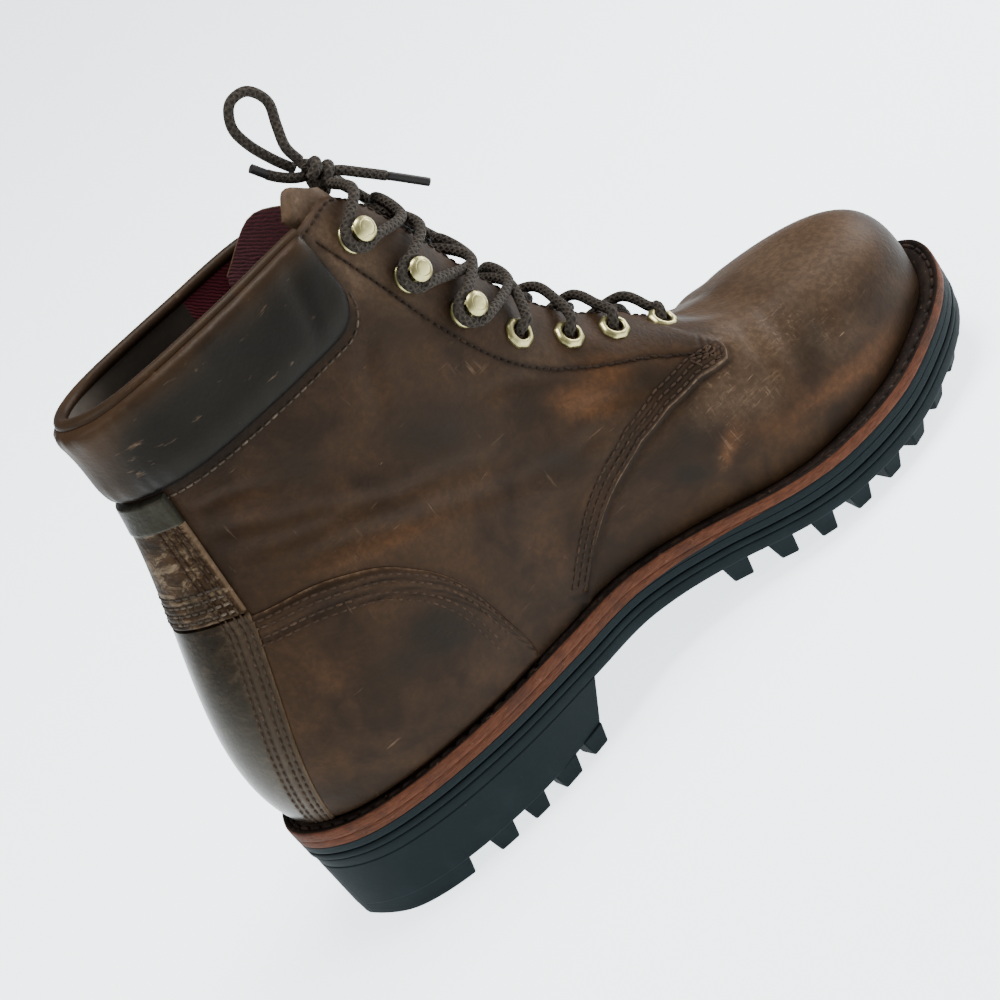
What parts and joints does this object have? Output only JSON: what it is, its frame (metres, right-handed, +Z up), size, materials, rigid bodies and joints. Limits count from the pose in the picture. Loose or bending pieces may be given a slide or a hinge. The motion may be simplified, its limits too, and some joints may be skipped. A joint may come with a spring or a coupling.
{
  "type": "work boot",
  "caption": "Ankle-high lace-up leather work boot for the left foot with a padded collar, brass eyelets and hooks, a stitched welt and a deeply lugged rubber sole.",
  "frame": {"origin": "on the floor, under the middle of the sole's outline", "axes": "+X from the heel to the toe, +Y to the outer (lateral) side, +Z up"},
  "size_m": [0.315, 0.1153, 0.2453],
  "materials": {
    "rubber": "matte black",
    "midsole": "raw red-brown edge",
    "welt": "dark brown, stitched",
    "insole": "plain tan",
    "upper_leather": "oiled brown with rubbed lighter places",
    "dark_leather": "soft, nearly black",
    "brass": "dull polish",
    "lace": "round braid"
  },
  "bodies": {
    "root": {"outsole": "rubber", "midsole": "midsole", "welt": "welt", "insole": "insole", "upper": "upper_leather", "counter_medial": "upper_leather", "counter_lateral": "upper_leather", "backstay_lower": "dark_leather", "backstay_upper": "dark_leather", "collar_pad": "dark_leather", "tongue": "upper_leather", "eyelet_medial_1": "brass", "eyelet_medial_2": "brass", "eyelet_medial_3": "brass", "eyelet_medial_4": "brass", "hook_medial_1": "brass", "hook_medial_2": "brass", "hook_medial_3": "brass", "eyelet_lateral_1": "brass", "eyelet_lateral_2": "brass", "eyelet_lateral_3": "brass", "eyelet_lateral_4": "brass", "hook_lateral_1": "brass", "hook_lateral_2": "brass", "hook_lateral_3": "brass", "lace_crossings": "lace", "lace_knot": "lace", "lace_loop_short": "lace", "lace_loop_long": "lace", "lace_end_long": "lace"}
  },
  "joints": []
}
